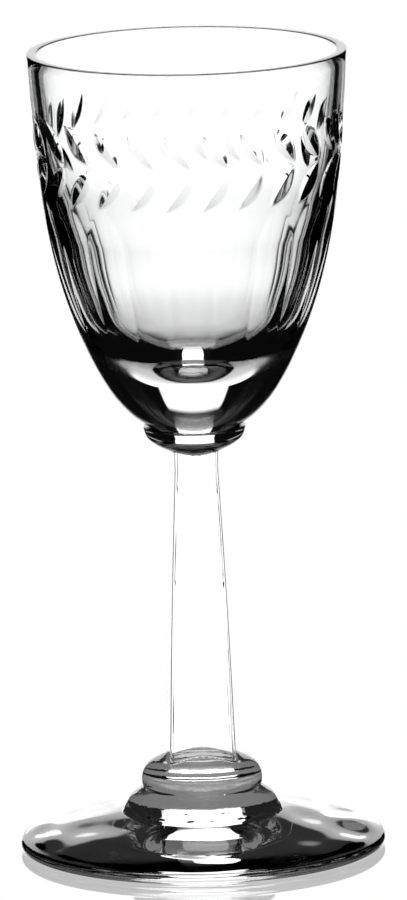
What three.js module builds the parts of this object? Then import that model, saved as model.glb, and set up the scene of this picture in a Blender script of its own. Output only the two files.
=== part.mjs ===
// A liqueur glass of clear cut crystal, in millimetres, +Z up. The origin is the bottom centre of its foot.
// It is hot-joined from six pieces, one mesh each: foot, base knop, stem ring, square stem, bowl collar, bowl.
// Neighbours meet on flat level faces, where the glassmaker welded one hot gather to the next.
import * as THREE from 'three';

// Driving dimensions
const TOTAL_HEIGHT = 114.0;
const RIM_DIAMETER = 45.0;
const RIM_WALL = 1.45;
const LIP_EDGE = 0.25;
const CAVITY_FLOOR = 69.3;
const COLLAR_DIAMETER = 14.5;
const STEM_SIDE_TOP = 6.2;
const STEM_SIDE_BOTTOM = 9.3;
const RING_DIAMETER = 17.16;
const RING_SEAT_DIAMETER = 16.72;
const KNOP_DIAMETER = 22.76;
const FOOT_DIAMETER = 51.8;
const FOOT_EDGE = 1.6;

// The foot's round edge runs from its underside up to this angle, in degrees above level
const EDGE_ENDS_AT = 55;

// Heights of the welds between neighbours
const FOOT_TOP = 5.0;
const KNOP_TOP = 8.5;
const RING_TOP = 12.6;
const STEM_TOP = 57.6;
const COLLAR_TOP = 60.5;

// Round welds at the two ends of the square stem
const STEM_FOOT_DIAMETER = 12.9;
const STEM_HEAD_DIAMETER = 9.8;
const STEM_FLARE = 1.6;

// The square stem: swell of each face at half height, rounding of its corners, turn about the upright axis
const STEM_SWELL = 0.12;
const STEM_CORNER = 0.5;
const STEM_TURN = THREE.MathUtils.degToRad(3);

// Flat panels cut round the bowl. A crown is a panel's highest point, a shoulder is where two panels meet.
const PANELS = 20;
const PANEL_CROWN = 94.2;
const PANEL_SHOULDER = 89.2;

// Fineness of the surfaces: sides round a turned piece, and points along a curve
const SIDES = 40;
const BOWL_SIDES = PANELS * 2;
const STEM_SIDES = 32;
const SIDE_STEPS = 8;
const FOOT_FACE_STEPS = 16;
const OUTSIDE_STEPS = 22;
const INSIDE_STEPS = 22;

const CRYSTAL_COLOUR = 0xf4f8f8;
const CRYSTAL_ROUGHNESS = 0.02;

function piece(name, geometry) {
  const crystal = new THREE.MeshStandardMaterial({
    color: CRYSTAL_COLOUR,
    roughness: CRYSTAL_ROUGHNESS,
    metalness: 0,
  });
  const mesh = new THREE.Mesh(geometry, crystal);
  mesh.name = name;
  return mesh;
}

// A smooth outline through a few [radius, height] points
function outline(points, steps = SIDE_STEPS) {
  const nodes = points.map(([radius, height]) => new THREE.Vector3(radius, height, 0));
  const curve = new THREE.CatmullRomCurve3(nodes, false, 'centripetal');
  return curve.getPoints(steps).map((point) => new THREE.Vector2(point.x, point.y));
}

// Part of a circle in the outline's plane, anticlockwise from one angle to another, in degrees
function arc(radius, height, size, from, to, steps) {
  const start = THREE.MathUtils.degToRad(from);
  const end = THREE.MathUtils.degToRad(to);
  return new THREE.EllipseCurve(radius, height, size, size, start, end).getPoints(steps);
}

// Turns an outline, lowest point first, into a closed body about Z with level faces at its two ends
function turned(side, bottom, top, sides = SIDES) {
  const profile = [new THREE.Vector2(0, bottom), ...side, new THREE.Vector2(0, top)];
  return new THREE.LatheGeometry(profile, sides).rotateX(Math.PI / 2);
}

// Gives a vertex a new radius, by a rule of its radius, angle, height and place along the outline
function reshape(geometry, rowLength, rule) {
  const place = geometry.attributes.position;
  for (let i = 0; i < place.count; i += 1) {
    const x = place.getX(i);
    const y = place.getY(i);
    const radius = Math.hypot(x, y);
    const wanted = rule(radius, Math.atan2(y, x), place.getZ(i), i % rowLength);
    const factor = radius > 0 ? wanted / radius : 1;
    place.setXY(i, x * factor, y * factor);
  }
  geometry.computeVertexNormals();
  return geometry;
}

// An angle measured from the middle of the side it falls on, where each side takes one step of the turn
function fromSideMiddle(angle, step) {
  const turn = (angle + step / 2) / step;
  return (turn - Math.floor(turn) - 0.5) * step;
}

// Foot: a thin round disc with a rounded edge, its upper face a low dome that rises to the base knop
function foot() {
  const edge = FOOT_EDGE / 2;
  const edgeCentre = FOOT_DIAMETER / 2 - edge;
  const seat = KNOP_DIAMETER / 2;
  const roundEdge = arc(edgeCentre, edge, edge, -90, EDGE_ENDS_AT, SIDE_STEPS);
  const dome = [
    [edgeCentre - 0.3, 1.68], [24, 2.0], [22, 2.6], [19, 3.17],
    [16, 3.76], [13.9, 4.28], [12.42, 4.71], [seat, FOOT_TOP],
  ];
  return piece('foot', turned([...roundEdge, ...outline(dome, FOOT_FACE_STEPS)], 0, FOOT_TOP));
}

// Base knop: a broad low cushion of glass with a rounded shoulder, on the middle of the foot
function baseKnop() {
  const wide = KNOP_DIAMETER / 2;
  const seat = RING_SEAT_DIAMETER / 2;
  const side = [
    [wide, FOOT_TOP], [wide - 0.2, 5.4], [wide - 0.4, 5.9], [wide - 0.65, 6.35],
    [wide - 1.13, 7.15], [seat + 0.84, 7.95], [seat, KNOP_TOP],
  ];
  return piece('base_knop', turned(outline(side), FOOT_TOP, KNOP_TOP));
}

// Stem ring: a rounded ring whose top closes in on the foot of the stem
function stemRing() {
  const wide = RING_DIAMETER / 2;
  const side = [
    [RING_SEAT_DIAMETER / 2, KNOP_TOP], [wide - 0.04, 9.1], [wide, 9.8], [wide - 0.13, 10.6],
    [wide - 0.43, 11.25], [wide - 0.88, 11.8], [wide - 1.68, 12.37], [STEM_FOOT_DIAMETER / 2, RING_TOP],
  ];
  return piece('stem_ring', turned(outline(side), KNOP_TOP, RING_TOP));
}

// Stem: four flat faces that narrow upwards with a slight swell, flaring to a round weld at both ends
function stem() {
  const faceBottom = RING_TOP + STEM_FLARE;
  const faceTop = STEM_TOP - STEM_FLARE;
  const flareShares = [0, 0.25, 0.55];
  const levels = flareShares.map((share) => RING_TOP + share * STEM_FLARE);
  for (let i = 0; i <= SIDE_STEPS; i += 1) {
    levels.push(THREE.MathUtils.lerp(faceBottom, faceTop, i / SIDE_STEPS));
  }
  levels.push(...flareShares.toReversed().map((share) => STEM_TOP - share * STEM_FLARE));

  const section = (radius, angle, height) => {
    if (radius === 0) {
      return 0;
    }
    const rise = THREE.MathUtils.clamp((height - faceBottom) / (faceTop - faceBottom), 0, 1);
    const swell = STEM_SWELL * Math.sin(Math.PI * rise);
    const half = THREE.MathUtils.lerp(STEM_SIDE_BOTTOM, STEM_SIDE_TOP, rise) / 2 + swell;
    const seat = (rise < 0.5 ? STEM_FOOT_DIAMETER : STEM_HEAD_DIAMETER) / 2;
    const intoFlare = Math.max(faceBottom - height, height - faceTop, 0) / STEM_FLARE;
    return THREE.MathUtils.lerp(squareRadius(half, angle), seat, intoFlare ** 2);
  };
  const side = levels.map((height) => new THREE.Vector2(1, height));
  const geometry = turned(side, RING_TOP, STEM_TOP, STEM_SIDES);
  return piece('stem', reshape(geometry, side.length + 2, section));
}

// Distance from the middle of a square to its side at an angle: a flat face, or a rounded corner
function squareRadius(half, angle) {
  const fromFace = fromSideMiddle(angle - STEM_TURN, Math.PI / 2);
  const fromCorner = Math.PI / 4 - Math.abs(fromFace);
  const cornerCentre = (half - STEM_CORNER) * Math.SQRT2;
  const reach = STEM_CORNER ** 2 - (cornerCentre * Math.sin(fromCorner)) ** 2;
  const flat = half / Math.cos(fromFace);
  return reach > 0 ? Math.min(flat, cornerCentre * Math.cos(fromCorner) + Math.sqrt(reach)) : flat;
}

// Bowl collar: a disc with a sharp upper edge, drawn in below like a shallow cup
function bowlCollar() {
  const wide = COLLAR_DIAMETER / 2;
  const seat = STEM_HEAD_DIAMETER / 2;
  const under = [[seat, STEM_TOP], [5.6, 58.1], [6.55, 58.8], [wide - 0.2, 59.6], [wide, COLLAR_TOP - 0.2]];
  const side = [...outline(under), new THREE.Vector2(wide - 0.1, COLLAR_TOP)];
  return piece('bowl_collar', turned(side, STEM_TOP, COLLAR_TOP));
}

// Bowl: a deep round cup with a level lip, a heavy base and flat panels cut upright round its lower part
function bowl() {
  const rim = RIM_DIAMETER / 2;
  const mouth = rim - RIM_WALL;
  const lipHeight = TOTAL_HEIGHT - LIP_EDGE;
  const outside = [
    [6.2, COLLAR_TOP], [8.96, 62.5], [13.12, 68], [16.25, 75],
    [18.9, 83.2], [20.58, 92], [21.81, 104], [rim, lipHeight],
  ];
  const lip = [
    new THREE.Vector2(rim - LIP_EDGE, TOTAL_HEIGHT),
    new THREE.Vector2(mouth + LIP_EDGE, TOTAL_HEIGHT),
  ];
  const inside = [
    [mouth, lipHeight], [20.65, 109], [20.15, 104], [19.3, 98], [17.95, 92], [16.3, 86.3], [14.5, 81],
    [12.5, 76.5], [9.5, 73], [6.5, 70.8], [3.5, 69.5], [0.6, CAVITY_FLOOR],
  ];
  const side = [...outline(outside, OUTSIDE_STEPS), ...lip, ...outline(inside, INSIDE_STEPS)];

  const step = (2 * Math.PI) / PANELS;
  const fullCut = 1 - Math.cos(step / 2);
  const panels = (radius, angle, height, place) => {
    const depth = THREE.MathUtils.clamp((PANEL_CROWN - height) / (PANEL_CROWN - PANEL_SHOULDER), 0, 1);
    const flat = (radius * (1 - fullCut * depth)) / Math.cos(fromSideMiddle(angle - Math.PI / 2, step));
    const onOutside = place <= OUTSIDE_STEPS + 1;
    return onOutside ? Math.min(radius, flat) : radius;
  };
  const geometry = turned(side, COLLAR_TOP, CAVITY_FLOOR, BOWL_SIDES);
  return piece('bowl', reshape(geometry, side.length + 2, panels));
}

const glass = new THREE.Group();
glass.name = 'liqueur_glass';
glass.add(foot(), baseKnop(), stemRing(), stem(), bowlCollar(), bowl());

export default glass;
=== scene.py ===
"""A small liqueur glass of clear cut crystal, standing on a pale floor in soft studio light.

It is built as the real one is: a round foot, a base knop, a stem ring, a square stem, a collar and a
cut bowl, each its own closed piece. Where two pieces were welded hot their touching faces are clear.
"""
import math

import bpy
import numpy as np
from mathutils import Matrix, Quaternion, Vector


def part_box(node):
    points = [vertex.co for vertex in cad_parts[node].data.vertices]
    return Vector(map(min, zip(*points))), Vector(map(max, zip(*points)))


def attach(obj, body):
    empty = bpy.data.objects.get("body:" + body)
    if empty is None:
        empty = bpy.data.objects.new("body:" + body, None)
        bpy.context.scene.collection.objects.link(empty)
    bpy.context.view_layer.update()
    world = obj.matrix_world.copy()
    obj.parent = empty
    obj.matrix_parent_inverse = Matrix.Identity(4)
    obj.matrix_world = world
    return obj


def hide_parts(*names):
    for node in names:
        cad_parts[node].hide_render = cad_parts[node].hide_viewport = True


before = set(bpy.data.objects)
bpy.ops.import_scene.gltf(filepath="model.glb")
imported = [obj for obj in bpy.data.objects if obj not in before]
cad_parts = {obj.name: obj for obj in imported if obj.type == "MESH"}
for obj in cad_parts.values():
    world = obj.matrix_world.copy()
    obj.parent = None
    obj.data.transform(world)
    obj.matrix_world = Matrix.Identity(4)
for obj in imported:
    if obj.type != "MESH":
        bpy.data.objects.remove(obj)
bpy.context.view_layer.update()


# Foot
# A round foot of crystal, spun out while hot: a low dome with a fire-rounded edge, its upper face a little
# wavy from the tool. The underside is ground flat, and years of standing have dulled it slightly.
MM = 0.001                                 # the pieces are worked out in millimetres


def solid_size(node):
    """Half the width of a piece's plain solid in the frame and the height of its top, in millimetres."""
    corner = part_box(node)[1]
    return round(corner[0] / MM, 3), round(corner[2] / MM, 3)


COLUMNS = 520                              # points round every ring, shared so that welds match exactly
ANGLES = np.linspace(0, 2 * np.pi, COLUMNS, endpoint=False)
SEAM_ANGLE = math.radians(24)              # edges sharper than this stay crisp
FOOT_RADIUS, FOOT_TOP = solid_size("foot")
KNOP_RADIUS, KNOP_TOP = solid_size("base_knop")
FOOT_EDGE = 0.8                            # radius of the round edge
EDGE_ENDS_AT = 55                          # degrees above level, where the edge runs into the dome
WAVE_HEIGHT = 0.07                         # of each of the slow waves in the upper face
WAVE_LENGTHS = (14, 12, 10, 9, 8)
WAVE_FADE = (2.5, 2.0)                     # widths of their fading, at the knop and at the edge
WAVE_FRONT = 0.15                          # share of their height that is left straight in front and behind
WAVE_SEED = 12
CRYSTAL_IOR = 1.53
DULL = 0.005                               # roughness of a full smear or scratch, low enough to stay clear
SMEAR_SCALE = 140.0
SMEAR_SHOWS = (0.52, 0.75)                 # parts of the noise, from where a mark starts to where it is full
SCRATCH_SCALE = 5200.0
SCRATCH_SHOWS = (0.66, 0.72)
SCRATCH_STRETCH = (1.0, 1.0, 0.06)
SCRATCH_TURN = (0.5, 0.3, 0.0)
WHITE = (1.0, 1.0, 1.0, 1.0)
RIPPLE_TINT = (0.985, 0.992, 0.992, 1.0)


def smooth_path(points, count):
    """Evenly spaced points on a smooth curve through a few (radius, height) points.

    Each span is a centripetal Catmull-Rom curve: the knots are the square roots of the distances between
    points, and a point is three rounds of straight mixing between neighbours. The end spans are mirrored.
    """
    p = np.asarray(points, float)
    p = np.concatenate([[2 * p[0] - p[1]], p, [2 * p[-1] - p[-2]]])
    knots = np.concatenate([[0], np.cumsum(np.hypot(*np.diff(p, axis=0).T) ** 0.5)])
    fine = np.linspace(knots[1], knots[-2], 60 * len(points))
    span = np.clip(np.searchsorted(knots, fine, side="right") - 1, 1, len(p) - 3)

    def mix(a, b, low, high):
        share = ((fine - knots[low]) / (knots[high] - knots[low]))[:, None]
        return a + (b - a) * share

    first = [mix(p[span + k], p[span + k + 1], span + k, span + k + 1) for k in (-1, 0, 1)]
    second = [mix(first[k], first[k + 1], span + k - 1, span + k + 1) for k in (0, 1)]
    curve = mix(second[0], second[1], span, span + 1)
    along = np.concatenate([[0], np.cumsum(np.hypot(*np.diff(curve, axis=0).T))])
    even = np.linspace(0, along[-1], count)
    return np.stack([np.interp(even, along, curve[:, 0]), np.interp(even, along, curve[:, 1])], axis=1)


def edge_arc(radius, height, size, start, end, count):
    """Part of a circle in the outline's plane: centre plus size times the cosine and sine of the angle."""
    turn = np.radians(np.linspace(start, end, count))
    return np.stack([radius + size * np.cos(turn), height + size * np.sin(turn)], axis=1)


def rings_from(radii, heights, turns=ANGLES):
    """Points of every ring: radius times sine and minus cosine of the turn, angle zero facing the front."""
    radii = np.asarray(radii)
    wide = radii if radii.ndim == 2 else radii[:, None]
    wide, turns, high = np.broadcast_arrays(wide, turns, np.asarray(heights)[:, None])
    return np.stack([wide * np.sin(turns), -wide * np.cos(turns), high], axis=-1)


def closed_piece(name, rings, material, weld_below=None, weld_above=None):
    """A closed surface through rings, lowest on the outside first, each end shut by a fan to the axis.

    A quad joins each point to its neighbour and to the two above. An end that is welded to the next
    piece takes the weld material, so that light passes as it does through one body of glass.
    """
    rows = len(rings)
    ends = [[0, 0, rings[0, 0, 2]], [0, 0, rings[-1, 0, 2]]]
    points = np.concatenate([rings.reshape(-1, 3), ends]) * MM
    here = np.arange((rows - 1) * COLUMNS).reshape(rows - 1, COLUMNS)
    beside = np.roll(here, -1, axis=1)
    quads = np.stack([here, beside, beside + COLUMNS, here + COLUMNS], axis=-1).reshape(-1, 4)
    turn = np.arange(COLUMNS)
    after = np.roll(turn, -1)
    last = (rows - 1) * COLUMNS
    below = np.stack([np.full(COLUMNS, len(points) - 2), after, turn], axis=1)
    above = np.stack([np.full(COLUMNS, len(points) - 1), last + turn, last + after], axis=1)
    mesh = bpy.data.meshes.new(name)
    mesh.from_pydata(points.tolist(), [], quads.tolist() + below.tolist() + above.tolist())
    slots = np.zeros(len(quads) + 2 * COLUMNS, np.int32)
    mesh.materials.append(material)
    if weld_below or weld_above:
        mesh.materials.append(weld_below or weld_above)
        slots[len(quads):len(quads) + COLUMNS] = 1 if weld_below else 0
        slots[len(quads) + COLUMNS:] = 1 if weld_above else 0
    mesh.polygons.foreach_set("material_index", slots)
    mesh.polygons.foreach_set("use_smooth", np.ones(len(slots), bool))
    mesh.set_sharp_from_angle(angle=SEAM_ANGLE)
    mesh.update()
    piece = bpy.data.objects.new(name, mesh)
    bpy.context.collection.objects.link(piece)
    return piece


def stand_for(piece, node):
    """Rides the piece on the glass's only body, in place of its plain solid."""
    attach(piece, "root")
    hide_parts(node)


def wire(tree, kind, *values, **settings):
    """A node with its settings, its inputs filled in order from plain values or other nodes' outputs."""
    node = tree.nodes.new(kind)
    for title, value in settings.items():
        setattr(node, title, value)
    for socket, value in zip(node.inputs, values):
        if isinstance(value, bpy.types.NodeSocket):
            tree.links.new(value, socket)
        elif value is not None:
            socket.default_value = value
    return node.outputs[0] if len(node.outputs) else None


def maths(tree, operation, *values):
    """One operation on plain numbers or other nodes' outputs, carried on from left to right."""
    result = wire(tree, "ShaderNodeMath", *values[:2], operation=operation)
    for value in values[2:]:
        result = wire(tree, "ShaderNodeMath", result, value, operation=operation)
    return result


def polish_group():
    """The marks of hand polishing on crystal, as a faint tint, a roughness and a ripple height.

    Slow noise gives the ripple that a polishing wheel leaves, finer noise gives faint smears where the
    glass was wiped, and stretched fine noise gives hairline scratches.
    """
    group = bpy.data.node_groups.new("crystal_polish", "ShaderNodeTree")
    sockets = group.interface
    for title in ("Ripple Scale", "Smear", "Scratches"):
        sockets.new_socket(title, in_out="INPUT", socket_type="NodeSocketFloat")
    sockets.new_socket("Colour", in_out="OUTPUT", socket_type="NodeSocketColor")
    sockets.new_socket("Roughness", in_out="OUTPUT", socket_type="NodeSocketFloat")
    sockets.new_socket("Height", in_out="OUTPUT", socket_type="NodeSocketFloat")
    given = group.nodes.new("NodeGroupInput").outputs
    made = group.nodes.new("NodeGroupOutput").inputs
    place = group.nodes.new("ShaderNodeTexCoord").outputs["Object"]
    drawn_out = wire(group, "ShaderNodeMapping", place, None, SCRATCH_TURN, SCRATCH_STRETCH)

    ripple = wire(group, "ShaderNodeTexNoise", place, None, given["Ripple Scale"], 1.0)
    smear = wire(group, "ShaderNodeTexNoise", place, None, SMEAR_SCALE, 4.0)
    smear = wire(group, "ShaderNodeMapRange", smear, *SMEAR_SHOWS, 0.0, 1.0)
    hairline = wire(group, "ShaderNodeTexNoise", drawn_out, None, SCRATCH_SCALE, 2.0)
    hairline = wire(group, "ShaderNodeMapRange", hairline, *SCRATCH_SHOWS, 0.0, 1.0)
    marks = maths(group, "ADD", maths(group, "MULTIPLY", smear, given["Smear"]),
                  maths(group, "MULTIPLY", hairline, given["Scratches"]))
    tint = group.nodes.new("ShaderNodeMix")
    tint.data_type = "RGBA"
    tint.inputs["A"].default_value = WHITE
    tint.inputs["B"].default_value = RIPPLE_TINT
    group.links.new(ripple, tint.inputs["Factor"])
    group.links.new(tint.outputs["Result"], made["Colour"])
    group.links.new(maths(group, "MULTIPLY", marks, DULL), made["Roughness"])
    group.links.new(ripple, made["Height"])
    return group


POLISH = polish_group()


def crystal(name, ripple_scale, ripple_height, smear, scratches):
    """Clear colourless crystal of one piece: smooth clear glass, with its own share of polishing marks.

    A larger ripple scale gives finer ripples, and their height is in millimetres.
    """
    material = bpy.data.materials.new(name)
    material.use_nodes = True
    tree = material.node_tree
    shader = tree.nodes["Principled BSDF"].inputs
    shader["Transmission Weight"].default_value = 1.0
    shader["IOR"].default_value = CRYSTAL_IOR
    polish = tree.nodes.new("ShaderNodeGroup")
    polish.node_tree = POLISH
    for title, value in (("Ripple Scale", ripple_scale), ("Smear", smear), ("Scratches", scratches)):
        polish.inputs[title].default_value = value
    tree.links.new(polish.outputs["Colour"], shader["Base Color"])
    tree.links.new(polish.outputs["Roughness"], shader["Roughness"])
    bump = tree.nodes.new("ShaderNodeBump")
    bump.inputs["Strength"].default_value = 1.0
    bump.inputs["Distance"].default_value = ripple_height * MM
    tree.links.new(polish.outputs["Height"], bump.inputs["Height"])
    tree.links.new(bump.outputs["Normal"], shader["Normal"])
    return material


def clear_weld():
    """The inner face of a hot weld, where two bodies of glass became one: nothing shows there."""
    material = bpy.data.materials.new("clear_weld")
    material.use_nodes = True
    shader = material.node_tree.nodes["Principled BSDF"]
    shader.inputs["Base Color"].default_value = WHITE
    shader.inputs["Alpha"].default_value = 0.0
    return material


WELD = clear_weld()


def foot_rings():
    """The foot's outline: flat underside, a round edge, then a low dome through a few points.

    The dome's height takes slow waves, a sum of cosines of place with seeded directions and phases. They
    fade out at the edge and at the knop, and are strongest at the two sides.
    """
    edge_centre = FOOT_RADIUS - FOOT_EDGE
    underside = np.linspace(0.4, edge_centre - FOOT_EDGE, 10)
    edge = edge_arc(edge_centre, FOOT_EDGE, FOOT_EDGE, -90, EDGE_ENDS_AT, 20)
    dome = smooth_path([edge[-1], (24.8, 1.68), (24, 2.0), (22, 2.6), (19, 3.17), (16, 3.76), (13.9, 4.28),
                        (12.42, 4.71), (KNOP_RADIUS, FOOT_TOP)], 60)
    outline = np.concatenate([np.stack([underside, underside * 0], axis=1), edge, dome[1:]])
    rings = rings_from(outline[:, 0], outline[:, 1])
    chance = np.random.default_rng(WAVE_SEED)
    wave = np.zeros(rings.shape[:2])
    for length in WAVE_LENGTHS:
        way, phase = chance.uniform(0, 2 * np.pi, 2)
        onward = rings[..., 0] * math.cos(way) + rings[..., 1] * math.sin(way)
        wave += np.cos(onward * 2 * np.pi / length + phase)
    from_knop = np.clip((outline[:, 0] - KNOP_RADIUS) / WAVE_FADE[0], 0, 1)
    from_edge = np.clip((edge_centre - outline[:, 0]) / WAVE_FADE[1], 0, 1)
    inward = from_knop * from_edge
    inward[:len(underside) + len(edge)] = 0
    aside = WAVE_FRONT + (1 - WAVE_FRONT) * np.sin(ANGLES) ** 2
    rings[..., 2] += WAVE_HEIGHT * wave * inward[:, None] * aside
    return rings


foot_crystal = crystal("foot_crystal", ripple_scale=160.0, ripple_height=0.02, smear=0.5, scratches=0.6)
foot = closed_piece("foot_disc", foot_rings(), foot_crystal, weld_above=WELD)
stand_for(foot, "foot")


# Base knop
# A gather of hot crystal set on the middle of the foot and turned to a broad low cushion. Its shoulder
# rounds over to the ring above, and the turning tool has left fine ripples in the glass.
RING_SEAT = 8.36                           # radius of the weld under the ring

knop_outline = smooth_path(
    [(KNOP_RADIUS, FOOT_TOP), (11.18, 5.4), (10.98, 5.9), (10.73, 6.35), (10.25, 7.15), (9.2, 7.95),
     (RING_SEAT, KNOP_TOP)], 28)
knop_crystal = crystal("knop_crystal", ripple_scale=700.0, ripple_height=0.1, smear=0.3, scratches=0.2)
knop = closed_piece("base_cushion", rings_from(knop_outline[:, 0], knop_outline[:, 1]), knop_crystal,
                    weld_below=WELD, weld_above=WELD)
stand_for(knop, "base_knop")


# Stem ring
# A second, smaller gather of hot crystal, set on the knop and turned to a rounded ring. Its top closes in
# steeply on the square stem, which was pressed into it while both were soft.
RING_TOP = solid_size("stem_ring")[1]
STEM_HALF_LOW = 4.66                       # half the stem's side at its low and its high end
STEM_HALF_HIGH = 3.10
STEM_LOW = 14.0
STEM_HIGH = 54.5
STEM_SWELL = 0.12
STEM_CORNER = 0.3                          # radius of the stem's rounded corners
CORNER_COLUMN = 69                         # a corner falls on this column, so that its edge is clean
STEM_TURN = CORNER_COLUMN * 2 * math.pi / COLUMNS - math.pi / 4
FILLET_POWER = 60                          # a higher power gives a tighter fillet


def square_radius(half):
    """Distance to a square's side at each angle: half over the cosine, or the small round of a corner."""
    half = np.asarray(half)[:, None]
    from_face = (ANGLES[None] - STEM_TURN + np.pi / 4) % (np.pi / 2) - np.pi / 4
    from_corner = np.pi / 4 - np.abs(from_face)
    flat = half / np.cos(from_face)
    corner = (half - STEM_CORNER) * math.sqrt(2)
    reach = STEM_CORNER ** 2 - (corner * np.sin(from_corner)) ** 2
    rounded = corner * np.cos(from_corner) + np.sqrt(np.maximum(reach, 0))
    return np.where((reach > 0) & (flat > rounded), rounded, flat)


def stem_half(height):
    """Half the stem's side: a straight taper upwards plus half a sine wave of swell."""
    rise = np.clip((height - STEM_LOW) / (STEM_HIGH - STEM_LOW), 0, 1)
    return STEM_HALF_LOW + (STEM_HALF_HIGH - STEM_HALF_LOW) * rise + STEM_SWELL * np.sin(np.pi * rise)


def joined_rings(heights, outline):
    """The square stem standing in a turned form: at each angle the larger radius, with a small fillet.

    The larger radius is a soft maximum, the root of a sum of two high powers.
    """
    heights = np.asarray(heights)
    turned = np.interp(heights, outline[:, 1], outline[:, 0])[:, None]
    square = square_radius(stem_half(heights))
    largest = np.maximum(turned, square)
    both = (turned / largest) ** FILLET_POWER + (square / largest) ** FILLET_POWER
    return rings_from(largest * both ** (1 / FILLET_POWER), heights)


ring_outline = smooth_path([(RING_SEAT, KNOP_TOP), (8.54, 9.1), (8.58, 9.8), (8.45, 10.6), (8.15, 11.25),
                            (7.7, 11.8), (6.9, 12.37), (6.0, 12.8), (5.3, 13.15), (4.75, 13.5), (4.1, 14.1),
                            (2.0, 16.0)], 120)
ring_crystal = crystal("ring_crystal", ripple_scale=900.0, ripple_height=0.02, smear=0.3, scratches=0.2)
ring = closed_piece("stem_ring_round", joined_rings(np.linspace(KNOP_TOP, RING_TOP, 40), ring_outline),
                    ring_crystal, weld_below=WELD, weld_above=WELD)
stand_for(ring, "stem_ring")


# Stem
# One solid bar of crystal with four flat faces, cut and polished, narrowing upwards with a slight swell.
# Both ends flare into the round pieces that they were welded to while hot.
STEM_TOP = solid_size("stem")[1]
FLARE_LOW = 15.8                           # rings lie closer together below this height, above the next
FLARE_HIGH = 54.4
COLLAR_EDGE = 60.15                        # height at which the collar's crisp edge begins

collar_outline = smooth_path([(1.0, 55.6), (2.4, 56.4), (3.3, 56.8), (3.7, 57.0), (4.2, 57.25), (4.9, 57.6),
                              (5.7, 58.05), (6.3, 58.5), (6.78, 59.0), (7.07, 59.6),
                              (7.2, COLLAR_EDGE)], 90)
stem_heights = np.concatenate([np.linspace(RING_TOP, FLARE_LOW, 26, endpoint=False),
                               np.linspace(FLARE_LOW, FLARE_HIGH, 50, endpoint=False),
                               np.linspace(FLARE_HIGH, STEM_TOP, 24)])
stem_outline = np.concatenate([ring_outline, collar_outline])
stem_crystal = crystal("stem_crystal", ripple_scale=90.0, ripple_height=0.012, smear=0.3, scratches=0.3)
stem = closed_piece("square_stem", joined_rings(stem_heights, stem_outline), stem_crystal,
                    weld_below=WELD, weld_above=WELD)
stand_for(stem, "stem")


# Bowl collar
# A small gather pressed flat between stem and bowl: a disc with a crisp upper edge, drawn in below like a
# shallow cup. The bowl stands on it, a little narrower, so that a thin level ledge shows all round.
COLLAR_TOP = solid_size("bowl_collar")[1]
COLLAR_RADIUS = 7.24
BOWL_SEAT = 6.24                           # radius of the weld under the bowl

under_rings = joined_rings(np.linspace(STEM_TOP, COLLAR_EDGE, 26), collar_outline)
edge_outline = np.array([(COLLAR_RADIUS, 60.3), (COLLAR_RADIUS - 0.02, 60.42),
                         (COLLAR_RADIUS - 0.12, COLLAR_TOP), (6.7, COLLAR_TOP), (BOWL_SEAT, COLLAR_TOP)])
collar_rings = np.concatenate([under_rings, rings_from(edge_outline[:, 0], edge_outline[:, 1])])
collar_crystal = crystal("collar_crystal", ripple_scale=200.0, ripple_height=0.02, smear=0.3, scratches=0.2)
collar = closed_piece("collar_disc", collar_rings, collar_crystal, weld_below=WELD, weld_above=WELD)
stand_for(collar, "bowl_collar")


# Bowl
# A deep cup blown thin at the lip and left heavy at the base. Flat panels are ground upright round its
# lower part, and two rows of slanting leaves are cut with a mitred wheel under the rim, then all polished.
RIM_RADIUS = 22.52
LIP_WALL = 1.45
RIM_HEIGHT = solid_size("bowl")[1]
LIP_ROUND = 0.22                           # the lip is ground level and polished, its edges barely rounded
LIP_ENDS_AT = 172                          # degrees, where its inner edge runs into the wall
LIP_HEIGHT = RIM_HEIGHT - LIP_ROUND
PANELS = 20
PANEL_PHASE = math.radians(9)
PANEL_CROWN = 94.2
PANEL_SHOULDER = 89.2
PANEL_DEPTH = 0.6                          # share of a full flat that the grinding reached
PANEL_FADE = (76.0, 70.0)                  # heights between which the panels run out below
LEAVES = 26                                # in each of the two rows
LEAF_COLUMN = 6                            # a leaf's middle line falls on this column, so that it is crisp
LEAF_PHASE = LEAF_COLUMN * 2 * math.pi / COLUMNS
LEAF_DEPTH = 0.34
LEAF_LENGTH = 6.6
LEAF_WIDTH = 2.6
LEAF_SLANT = math.radians(54)
LEAF_ROWS = ((103.1, -1), (97.1, 1))       # height of each row's middle, and which way its leaves lean
BANDS = ((COLLAR_TOP, 10), (64, 20), (88, 12), (93.2, 60), (107, 5))    # where each starts, and its rings

bowl_outside = smooth_path([
    (BOWL_SEAT, COLLAR_TOP), (7.45, 61.3), (9.0, 62.5), (11.25, 65), (13.13, 68), (14.63, 71), (16.3, 75),
    (18.05, 80), (19.6, 86), (20.66, 92), (21.33, 98), (21.88, 104), (22.26, 109),
    (RIM_RADIUS, LIP_HEIGHT)], 400)
bowl_inside = smooth_path([
    (RIM_RADIUS - LIP_WALL, LIP_HEIGHT), (20.7, 109), (20.2, 104), (19.5, 98), (18.1, 92), (16.3, 86.5),
    (14.4, 81), (12.5, 76.7), (11, 74.55), (9.5, 73), (8, 71.7), (6.5, 70.8), (5, 70.05), (3.5, 69.5),
    (2, 69.3), (0.15, 69.3)], 64)


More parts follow.
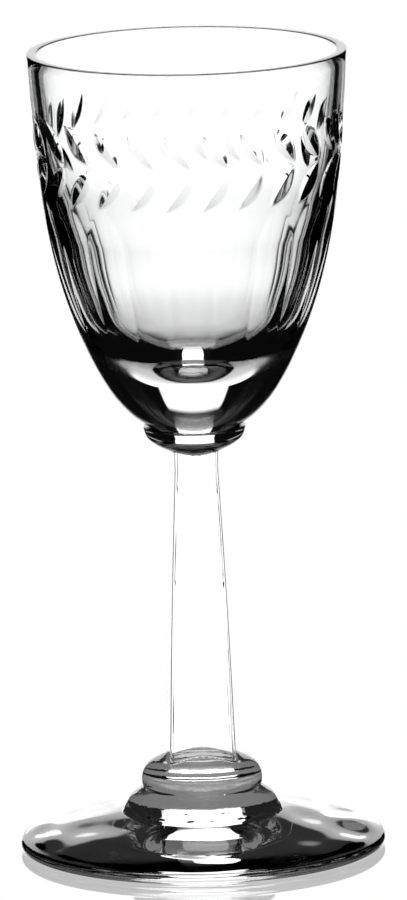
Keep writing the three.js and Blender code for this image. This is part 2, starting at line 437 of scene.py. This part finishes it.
def panel_cut(height, turns):
    """Share of the radius ground away: a flat's depth at each angle, less the lift towards its crown.

    Below, the flats run out with a smooth step of the height.
    """
    step = 2 * np.pi / PANELS
    from_middle = (turns - PANEL_PHASE) % step - step / 2
    full = 1 - math.cos(step / 2)
    across = PANEL_DEPTH * (1 - math.cos(step / 2) / np.cos(from_middle))
    up = np.clip((PANEL_CROWN - height) / (PANEL_CROWN - PANEL_SHOULDER), 0, 1)[:, None]
    down = np.clip((height - PANEL_FADE[1]) / (PANEL_FADE[0] - PANEL_FADE[1]), 0, 1)[:, None]
    return np.maximum(across - PANEL_DEPTH * full * (1 - up), 0) * down * down * (3 - 2 * down)


def leaf_lean(height, radius):
    """Angle that each ring is turned by, so that the columns follow one row's slant and then the other's.

    The shift is a tent over the height: nought outside the two rows, with its peak between them.
    """
    upper, lower = LEAF_ROWS[0][0], LEAF_ROWS[1][0]
    from_between = np.abs(height - (upper + lower) / 2)
    shift = np.maximum(upper - lower - from_between, 0) / math.tan(LEAF_SLANT)
    return shift / radius


def leaf_cut(height, radius, turns):
    """Depth of the leaf cuts at each height and angle.

    Along a leaf the wheel dips as one less the square of the way out, and across it the two faces of the
    mitre rise evenly from the middle line. The deepest cut wins where leaves come close.
    """
    pitch = 2 * np.pi / LEAVES
    deepest = np.zeros(turns.shape)
    for middle, lean in LEAF_ROWS:
        phase = LEAF_PHASE + np.interp(middle, height, leaf_lean(height, radius))
        for neighbour in (-1, 0, 1):
            turn = (turns - phase + pitch / 2) % pitch - pitch / 2 + neighbour * pitch
            aside = radius[:, None] * turn
            above = height[:, None] - middle
            along = aside * math.cos(LEAF_SLANT) + lean * above * math.sin(LEAF_SLANT)
            across = np.abs(lean * above * math.cos(LEAF_SLANT) - aside * math.sin(LEAF_SLANT))
            dip = LEAF_DEPTH * (1 - (2 * along / LEAF_LENGTH) ** 2 - 2 * across / LEAF_WIDTH)
            deepest = np.maximum(deepest, dip)
    return deepest


band_ends = [start for start, _ in BANDS[1:]] + [LIP_HEIGHT]
outside_heights = np.concatenate([np.linspace(start, end, rings, endpoint=False)
                                  for (start, rings), end in zip(BANDS, band_ends)])
outside_radius = np.interp(outside_heights, bowl_outside[:, 1], bowl_outside[:, 0])
outside_turns = ANGLES + leaf_lean(outside_heights, outside_radius)[:, None]
outside_cut = (outside_radius[:, None] * (1 - panel_cut(outside_heights, outside_turns))
               - leaf_cut(outside_heights, outside_radius, outside_turns))
lip_inside = RIM_RADIUS - LIP_WALL + LIP_ROUND
lip = np.concatenate([edge_arc(RIM_RADIUS - LIP_ROUND, LIP_HEIGHT, LIP_ROUND, 0, 90, 5),
                      edge_arc(lip_inside, LIP_HEIGHT, LIP_ROUND, 90, LIP_ENDS_AT, 5)])
bowl_rings = np.concatenate([rings_from(outside_cut, outside_heights, outside_turns),
                             rings_from(lip[:, 0], lip[:, 1]),
                             rings_from(bowl_inside[:, 0], bowl_inside[:, 1])])
bowl_crystal = crystal("bowl_crystal", ripple_scale=120.0, ripple_height=0.01, smear=0.25, scratches=0.15)
bowl = closed_piece("cut_bowl", bowl_rings, bowl_crystal, weld_below=WELD)
stand_for(bowl, "bowl")


# Studio
# The glass stands on a glossy white sheet in front of one tall soft panel. A dark card on each side of the
# panel draws crystal's crisp dark lines. Beyond the cards the sheet is lit, and a weak light hangs overhead.
# On the sheet itself, the light beyond the cards and the light under the foot and the ring are painted
# light that glows on it.
FLOOR_SIZE = 12.0
FLOOR_DROP = 0.0002                        # the sheet lies just under the foot, so that the two never mingle
SURROUND_LIGHT = 0.003
LIGHT_STRENGTH = 1.6
LIGHT_HALF_WIDTH = math.radians(16.5)      # the panel's two sides, from straight back
LIGHT_SOFTNESS = 0.015                     # how its sides fade, as sideways over away
LIGHT_FULL = math.radians(35)              # up to here the panel is at its full strength
LIGHT_TOP = math.radians(44)
OVERHEAD_LIGHT = 0.14
OVERHEAD_WIDE = (0.26, 0.14)               # sideways over upwards, where its edge fades
OVERHEAD_LONG = (0.8, 0.62, -1.3, -1.0)    # away from the camera over upwards, its far and near edges
CARD_EDGE = math.radians(28)               # the outer side of each dark card, from straight back
SIDE_LIGHT = 0.85                          # of the sheet beyond the cards: world light in the distance, painted light glowing on the sheet itself near the glass
PAINTED_SIDE_START = (0.004, 0.02)                 # metres beyond a card's line where the sheet's painted light starts, and where it is full
LOW_BAND = (0.07, 0.02)                    # the lit sheet's far end, as the upward part of a direction
LOW_BAND_START = (0.0, 0.1)
SHINE_HELD = 0.9                           # share of the high light that the glass's outside doesn't mirror
SHINE_FROM = math.radians(22)              # the height at which that starts, and at which it is full
SHINE_TO = math.radians(26)
FIRST_MEETING = 2.5                        # a path's depth is below this when it has met one surface only
CAMERA_SHARE = 0.5                         # of reflection in what the camera sees of the sheet
CAMERA_GLOSS = 0.05
SHEET_GLOSS = 0.2
SHEET_STEEP = 0.48                         # share of light that the sheet returns straight down
SHEET_SHALLOW = 1.0                        # and at a glance
SHEET_GLANCE = (0.5, 0.85)
FOOT_PAINTED_GLOW = 0.2                            # painted light on the sheet under the foot, in place of the light that the foot gathers there, with its edge in mm
FOOT_PAINTED_GLOW_EDGE = (30.0, 26.0)
MIDDLE_PAINTED_GLOW = 0.42                         # the same painted light, under the ring
MIDDLE_PAINTED_GLOW_EDGE = (10.0, 6.0)


def fade(tree, value, low, high):
    """Smooth step from nought at low to one at high, either way round."""
    return wire(tree, "ShaderNodeMapRange", value, low, high, 0.0, 1.0, interpolation_type="SMOOTHSTEP")


def three_parts(tree, place):
    """The three coordinates of a place or a direction."""
    parts = tree.nodes.new("ShaderNodeSeparateXYZ")
    tree.links.new(place, parts.inputs["Vector"])
    return parts.outputs


def beyond_card(tree, x, y):
    """How far a place or a direction lies beyond the line of the dark card's outer side.

    That is its way sideways times the cosine of the line's angle, less its way back times the sine.
    """
    sideways = maths(tree, "MULTIPLY", maths(tree, "ABSOLUTE", x), math.cos(CARD_EDGE))
    return maths(tree, "SUBTRACT", sideways, maths(tree, "MULTIPLY", y, math.sin(CARD_EDGE)))


def straight_through(tree):
    """One for light that has only been bent by glass on its way, nought for light that was mirrored."""
    return maths(tree, "LESS_THAN", tree.nodes.new("ShaderNodeLightPath").outputs["Glossy Depth"], 0.5)


def studio_light():
    """Light by direction, as the glass sees it. The camera and the sheet see plain white all round.

    The panel is an oblong on an upright plane and the overhead light one on a level plane. The lit
    sheet's far end is a low band. The glass's outside mirrors little of what is high.
    """
    world = bpy.data.worlds.new("studio")
    bpy.context.scene.world = world
    world.use_nodes = True
    world.cycles.sampling_method = "NONE"
    tree = world.node_tree
    tree.nodes.clear()
    x, y, z = three_parts(tree, tree.nodes.new("ShaderNodeTexCoord").outputs["Generated"])

    ahead = maths(tree, "MAXIMUM", y, 0.001)
    aside = maths(tree, "ABSOLUTE", maths(tree, "DIVIDE", x, ahead))
    side = math.tan(LIGHT_HALF_WIDTH)
    across = fade(tree, aside, side + LIGHT_SOFTNESS, side - LIGHT_SOFTNESS)
    upright = fade(tree, maths(tree, "DIVIDE", z, ahead), math.tan(LIGHT_TOP), math.tan(LIGHT_FULL))
    panel = maths(tree, "MULTIPLY", across, upright, LIGHT_STRENGTH)

    above = maths(tree, "MAXIMUM", z, 0.001)
    along = maths(tree, "DIVIDE", y, above)
    wide = fade(tree, maths(tree, "DIVIDE", maths(tree, "ABSOLUTE", x), above), *OVERHEAD_WIDE)
    far, near = fade(tree, along, *OVERHEAD_LONG[:2]), fade(tree, along, *OVERHEAD_LONG[2:])
    overhead = maths(tree, "MULTIPLY", far, near, wide, OVERHEAD_LIGHT)

    low = fade(tree, z, *LOW_BAND)
    outside = fade(tree, beyond_card(tree, x, y), *LOW_BAND_START)
    sides = maths(tree, "MULTIPLY", low, outside, straight_through(tree), SIDE_LIGHT)
    light = maths(tree, "ADD", SURROUND_LIGHT, panel, overhead, sides)

    path = tree.nodes.new("ShaderNodeLightPath").outputs
    first = maths(tree, "LESS_THAN", path["Ray Depth"], FIRST_MEETING)
    off_glass = maths(tree, "MULTIPLY", first, path["Is Singular Ray"])
    off_sheet = maths(tree, "SUBTRACT", maths(tree, "MULTIPLY", first, path["Is Glossy Ray"]), off_glass)
    held = maths(tree, "MULTIPLY", fade(tree, z, math.sin(SHINE_FROM), math.sin(SHINE_TO)), SHINE_HELD)
    kept = maths(tree, "SUBTRACT", 1.0, maths(tree, "MULTIPLY", off_glass, held))
    light = maths(tree, "MULTIPLY", light, kept)
    plain = maths(tree, "MAXIMUM", path["Is Camera Ray"], off_sheet)
    light = wire(tree, "ShaderNodeMix", plain, None, light, 1.0)
    wire(tree, "ShaderNodeOutputWorld", wire(tree, "ShaderNodeBackground", WHITE, light))


def sheet_material():
    """The white sheet. To the camera it is plain white with a soft reflection, whatever the light.

    To the glass it is glossy, and returns more light at a glance than straight down. Painted light glows on
    it under the foot and the ring, in place of the light that they gather there. It also glows at its sides,
    beyond the dark cards.
    """
    material = bpy.data.materials.new("pale_sheet")
    material.use_nodes = True
    tree = material.node_tree
    tree.nodes.clear()
    white = wire(tree, "ShaderNodeEmission", WHITE, 1.0)
    soft = wire(tree, "ShaderNodeBsdfGlossy", WHITE, CAMERA_GLOSS)
    seen = wire(tree, "ShaderNodeMixShader", CAMERA_SHARE, white, soft)

    facing = tree.nodes.new("ShaderNodeLayerWeight")
    facing.inputs["Blend"].default_value = 0.5
    share = wire(tree, "ShaderNodeMapRange", facing.outputs["Facing"], *SHEET_GLANCE, SHEET_STEEP,
                 SHEET_SHALLOW)
    mirror = wire(tree, "ShaderNodeBsdfGlossy", share, SHEET_GLOSS, distribution="MULTI_GGX")

    place = tree.nodes.new("ShaderNodeTexCoord").outputs["Object"]
    x, y, _ = three_parts(tree, place)
    away = tree.nodes.new("ShaderNodeVectorMath")
    away.operation = "LENGTH"
    tree.links.new(place, away.inputs[0])
    away = maths(tree, "DIVIDE", away.outputs["Value"], MM)
    # Painted pools of light: the sheet glows under the foot and, brighter, under the ring, in place of the
    # light that the glass gathers there.
    painted_glow_under_foot = maths(tree, "MULTIPLY", fade(tree, away, *FOOT_PAINTED_GLOW_EDGE), FOOT_PAINTED_GLOW)
    middle = maths(tree, "MULTIPLY", fade(tree, away, *MIDDLE_PAINTED_GLOW_EDGE), MIDDLE_PAINTED_GLOW)
    # Painted light: the sheet glows at its sides beyond the dark cards as if lit there, seen only along
    # paths that no surface mirrored.
    outside = fade(tree, beyond_card(tree, x, y), *PAINTED_SIDE_START)
    sides = maths(tree, "MULTIPLY", outside, straight_through(tree), SIDE_LIGHT)
    painted_light_glow = wire(tree, "ShaderNodeEmission", WHITE, maths(tree, "ADD", painted_glow_under_foot, middle, sides))
    lit = wire(tree, "ShaderNodeAddShader", mirror, painted_light_glow)
    from_camera = tree.nodes.new("ShaderNodeLightPath").outputs["Is Camera Ray"]
    wire(tree, "ShaderNodeOutputMaterial", wire(tree, "ShaderNodeMixShader", from_camera, lit, seen))
    return material


studio_light()
reach = FLOOR_SIZE / 2
corners = [(-reach, -reach, 0), (reach, -reach, 0), (reach, reach, 0), (-reach, reach, 0)]
floor_mesh = bpy.data.meshes.new("floor")
floor_mesh.from_pydata(corners, [], [(0, 1, 2, 3)])
floor_mesh.materials.append(sheet_material())
floor = bpy.data.objects.new("floor", floor_mesh)
bpy.context.collection.objects.link(floor)
floor.location.z = -FLOOR_DROP


# Camera
# It stands about 1.5 m in front and 0.35 m above the sheet with a long lens, as the photograph was taken.
# The photograph is turned about one degree on its side, and the glass stands a little left of its middle.
CAMERA_PLACE = Vector((0.0, -1.48, 0.3454))
CAMERA_TARGET = Vector((0.0, 0.0, 0.057))
FOCAL_PIXELS = 10693.0
FRAME_WIDTH, FRAME_HEIGHT = 407, 900
AXIS_PIXEL = (195.0, 449.1)                # where the target falls in the photograph's frame
SIDE_TILT = -0.0215
LIGHT_STEPS = 24                           # surfaces that light may meet, enough to cross the whole glass

camera_data = bpy.data.cameras.new("camera")
camera = bpy.data.objects.new("camera", camera_data)
bpy.context.collection.objects.link(camera)
bpy.context.scene.camera = camera
camera_data.sensor_width = 36.0
camera_data.lens = FOCAL_PIXELS * camera_data.sensor_width / FRAME_HEIGHT
camera_data.clip_end = 30.0
looking = (CAMERA_TARGET - CAMERA_PLACE).to_track_quat("-Z", "Y")
yaw = Quaternion((0, 1, 0), (AXIS_PIXEL[0] - FRAME_WIDTH / 2) / FOCAL_PIXELS)
pitch = Quaternion((1, 0, 0), (AXIS_PIXEL[1] - FRAME_HEIGHT / 2) / FOCAL_PIXELS)
camera.rotation_mode = "QUATERNION"
camera.rotation_quaternion = looking @ yaw @ pitch @ Quaternion((0, 0, 1), SIDE_TILT)
camera.location = CAMERA_PLACE

scene = bpy.context.scene
scene.view_settings.view_transform = "Standard"
scene.cycles.max_bounces = LIGHT_STEPS
scene.cycles.transmission_bounces = LIGHT_STEPS
scene.cycles.transparent_max_bounces = LIGHT_STEPS
